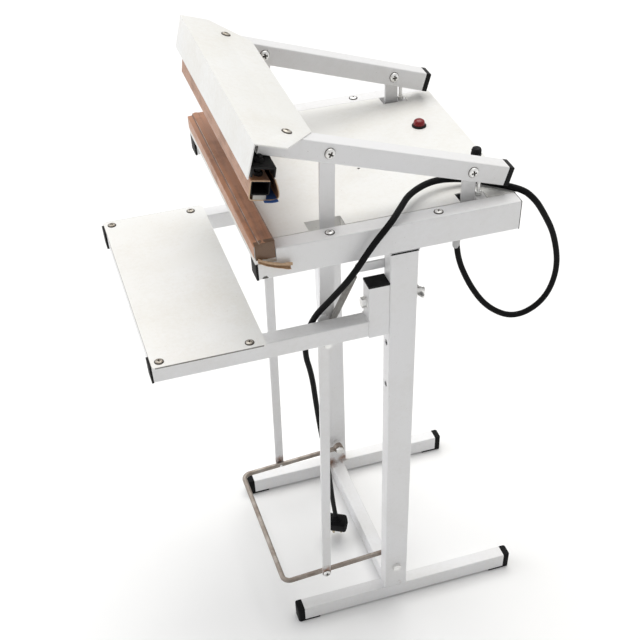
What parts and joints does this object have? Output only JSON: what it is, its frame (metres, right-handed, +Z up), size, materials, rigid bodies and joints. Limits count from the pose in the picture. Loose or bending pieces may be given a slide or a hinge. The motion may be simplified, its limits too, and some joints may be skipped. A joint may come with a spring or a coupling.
{
  "type": "foot-operated sealer",
  "caption": "Free-standing heat sealer for bags: a pedal pulls two arms and a hinged upper jaw down onto a heated lower jaw, with a bag shelf in front.",
  "frame": {"origin": "on the floor, below the middle of the machine's outline without its cord", "axes": "+Z up, +Y to the back, +X to the operator's right; the bag comes from the front, -Y"},
  "size_m": [0.3959, 0.6007, 0.8884],
  "materials": {
    "bare_steel": "bare drawn rod, slightly brown",
    "black_plastic": "matt black",
    "board_white": "moulded",
    "bronze_screw": "bronze-coloured plating",
    "carrier_black": "black paint",
    "copper": "enamelled copper under paper",
    "core_steel": "varnished laminations",
    "frame_paint": "smooth light grey-white powder coat",
    "jaw_aluminium": "extruded",
    "lamp_red": "dark red lens",
    "nickel_ribbon": "resistance ribbon",
    "pin_brass": "bright",
    "ptfe_brown": "coated glass cloth, satin brown",
    "rubber": "matt black",
    "sheet_paint": "smooth cream-white powder coat, faint stains",
    "silicone": "off-white silicone",
    "spring_steel": "dark oiled",
    "tape_blue": "coated blue tape",
    "zinc_steel": "zinc-plated, dull"
  },
  "bodies": {
    "root": {"right_floor_runner": "frame_paint", "left_floor_runner": "frame_paint", "floor_crossbar": "frame_paint", "rubber_feet": "rubber", "right_upright": "frame_paint", "left_upright": "frame_paint", "right_side_rail": "frame_paint", "left_side_rail": "frame_paint", "frame_caps": "black_plastic", "frame_bolts": "zinc_steel", "dome_screws": "bronze_screw", "clamp_tubes": "frame_paint", "shelf_frame": "frame_paint", "shelf_plate": "sheet_paint", "head_cross_tubes": "frame_paint", "table_sheet": "sheet_paint", "electrical_box": "carrier_black", "transformer_core": "core_steel", "transformer_winding": "copper", "switchgear": "board_white", "pilot_lamp_holder": "black_plastic", "pilot_lamp_lens": "lamp_red", "seal_timer": "black_plastic", "cord_gland": "black_plastic", "rear_posts": "frame_paint", "arm_fixings": "zinc_steel", "lower_jaw_bar": "jaw_aluminium", "lower_jaw_cloth": "ptfe_brown", "heating_ribbon": "nickel_ribbon", "spring_anchors": "spring_steel", "right_return_spring": "spring_steel", "left_return_spring": "spring_steel", "mains_cord": "rubber", "mains_plug": "rubber", "plug_pins": "pin_brass"},
    "press_arms": {"right_arm": "frame_paint", "left_arm": "frame_paint", "arm_caps": "black_plastic", "link_bolts": "zinc_steel", "jaw_cover": "sheet_paint", "cover_screws": "bronze_screw", "jaw_carrier": "carrier_black", "jaw_studs": "zinc_steel", "upper_jaw_tube": "jaw_aluminium", "upper_jaw_cloth": "ptfe_brown", "upper_jaw_rubber": "silicone", "upper_jaw_tape": "tape_blue"},
    "right_link": {"right_link_strap": "frame_paint", "right_link_bar": "frame_paint", "right_lap_bolts": "zinc_steel"},
    "left_link": {"left_link_strap": "frame_paint", "left_link_bar": "frame_paint", "left_lap_bolts": "zinc_steel"},
    "pedal": {"pedal_rod": "bare_steel", "pedal_screws": "zinc_steel"},
    "right_wing": {"right_wing_nut": "zinc_steel"},
    "left_wing": {"left_wing_nut": "zinc_steel"},
    "timer_dial": {"timer_knob": "black_plastic"},
    "right_hook": {"right_spring_hook": "spring_steel"},
    "left_hook": {"left_spring_hook": "spring_steel"}
  },
  "joints": [
    {"name": "arm_hinge", "type": "hinge", "parent": "root", "child": "press_arms", "pos_m": [0, 0.1655, 0.786], "axis": [1, 0, 0], "range_deg": [0, 11], "stiffness_Nm_per_rad": 14, "springref_deg": -57.3},
    {"name": "right_link_hinge", "type": "hinge", "parent": "press_arms", "child": "right_link", "pos_m": [0.1475, -0.02596, 0.84381], "axis": [1, 0, 0], "range_deg": [-10.37, 0]},
    {"name": "left_link_hinge", "type": "hinge", "parent": "press_arms", "child": "left_link", "pos_m": [-0.1475, -0.02596, 0.84381], "axis": [1, 0, 0], "range_deg": [-10.37, 0]},
    {"name": "pedal_hinge", "type": "hinge", "parent": "root", "child": "pedal", "pos_m": [0, 0.0645, 0.084], "axis": [1, 0, 0], "range_deg": [0, 19.28]},
    {"name": "right_wing_turn", "type": "hinge", "parent": "root", "child": "right_wing", "pos_m": [0.1725, 0.0909, 0.635], "axis": [0, 1, 0], "continuous": true},
    {"name": "left_wing_turn", "type": "hinge", "parent": "root", "child": "left_wing", "pos_m": [-0.1725, 0.0909, 0.635], "axis": [0, 1, 0], "continuous": true},
    {"name": "timer_turn", "type": "hinge", "parent": "root", "child": "timer_dial", "pos_m": [0.063, 0.2135, 0.758], "axis": [0, 0, -1], "range_deg": [0, 280]},
    {"name": "right_hook_slide", "type": "slide", "parent": "root", "child": "right_hook", "axis": [0, -0.0562, -0.9984], "range_m": [0, 0.0388], "deforming": ["right_return_spring"]},
    {"name": "left_hook_slide", "type": "slide", "parent": "root", "child": "left_hook", "axis": [0, -0.0562, -0.9984], "range_m": [0, 0.0388], "deforming": ["left_return_spring"]}
  ],
  "couplings": [
    {"joint": "right_link_hinge", "follows": "arm_hinge", "ratio": -0.8886},
    {"joint": "left_link_hinge", "follows": "arm_hinge", "ratio": -0.8886},
    {"joint": "pedal_hinge", "follows": "arm_hinge", "ratio": 1.7069},
    {"joint": "right_hook_slide", "follows": "arm_hinge", "m_per_rad": 0.1969},
    {"joint": "left_hook_slide", "follows": "arm_hinge", "m_per_rad": 0.1969}
  ]
}
